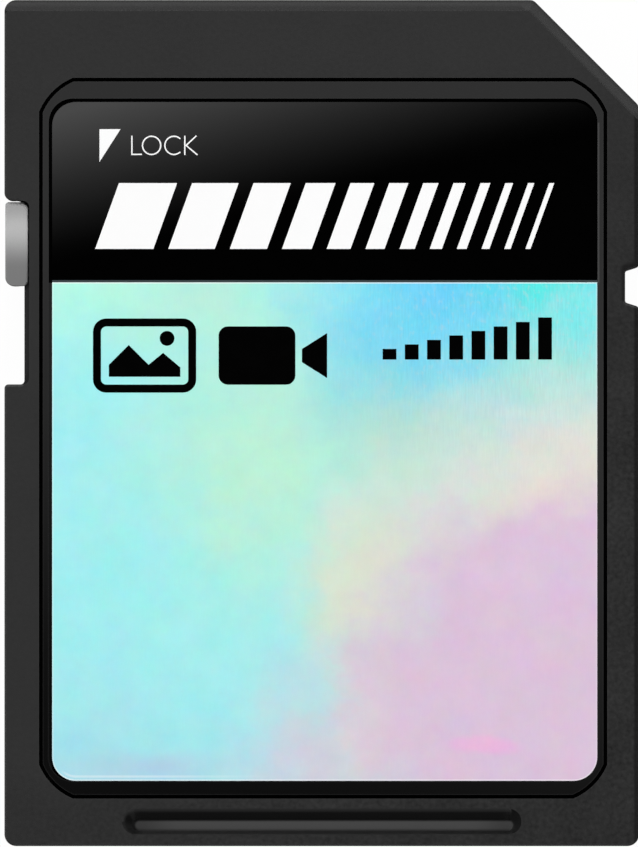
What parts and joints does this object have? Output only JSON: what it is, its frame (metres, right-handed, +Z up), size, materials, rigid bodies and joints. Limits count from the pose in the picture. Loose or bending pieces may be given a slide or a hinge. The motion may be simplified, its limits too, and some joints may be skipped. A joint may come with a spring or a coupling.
{
  "type": "memory card",
  "caption": "Flat memory card with a cut corner, a recessed label, a sliding write-lock tab, and gold contact pads in slots on its back.",
  "frame": {"origin": "middle of the back face, on the surface that the card lies on", "axes": "+Y along the card towards its contact end, +Z up out of the label, +X across it to the cut corner's side"},
  "size_m": [0.024, 0.032, 0.0021],
  "materials": {
    "shell_plastic": "fine matt moulded texture",
    "slider_plastic": "smooth satin",
    "label_film": "glossy printed film with a pale iridescent field",
    "contact_gold": "plated, polished",
    "board_laminate": "solder mask, semi-gloss",
    "chip_resin": "matt resin",
    "capacitor_ceramic": "fired ceramic with tinned ends",
    "resistor_ceramic": "glazed ceramic with tinned ends"
  },
  "bodies": {
    "card": {"front_shell": "shell_plastic", "back_shell": "shell_plastic", "front_label": "label_film", "circuit_board": "board_laminate", "controller_chip": "chip_resin", "flash_chip": "chip_resin", "contact_pad_1": "contact_gold", "contact_pad_2": "contact_gold", "contact_pad_3": "contact_gold", "contact_pad_4": "contact_gold", "contact_pad_5": "contact_gold", "contact_pad_6": "contact_gold", "contact_pad_7": "contact_gold", "contact_pad_8": "contact_gold", "contact_pad_9": "contact_gold", "contact_pad_10": "contact_gold", "contact_pad_11": "contact_gold", "contact_pad_12": "contact_gold", "contact_pad_13": "contact_gold", "contact_pad_14": "contact_gold", "contact_pad_15": "contact_gold", "contact_pad_16": "contact_gold", "contact_pad_17": "contact_gold", "capacitor_1": "capacitor_ceramic", "capacitor_2": "capacitor_ceramic", "capacitor_3": "capacitor_ceramic", "capacitor_4": "capacitor_ceramic", "capacitor_5": "capacitor_ceramic", "capacitor_6": "capacitor_ceramic", "capacitor_7": "capacitor_ceramic", "capacitor_8": "capacitor_ceramic", "resistor_1": "resistor_ceramic", "resistor_2": "resistor_ceramic", "resistor_3": "resistor_ceramic", "resistor_4": "resistor_ceramic", "resistor_5": "resistor_ceramic", "resistor_6": "resistor_ceramic", "resistor_7": "resistor_ceramic", "resistor_8": "resistor_ceramic"},
    "lock": {"lock_slider": "slider_plastic"}
  },
  "joints": [
    {"name": "lock_slide", "type": "slide", "parent": "card", "child": "lock", "axis": [0, -1, 0], "range_m": [0, 0.00366]}
  ]
}
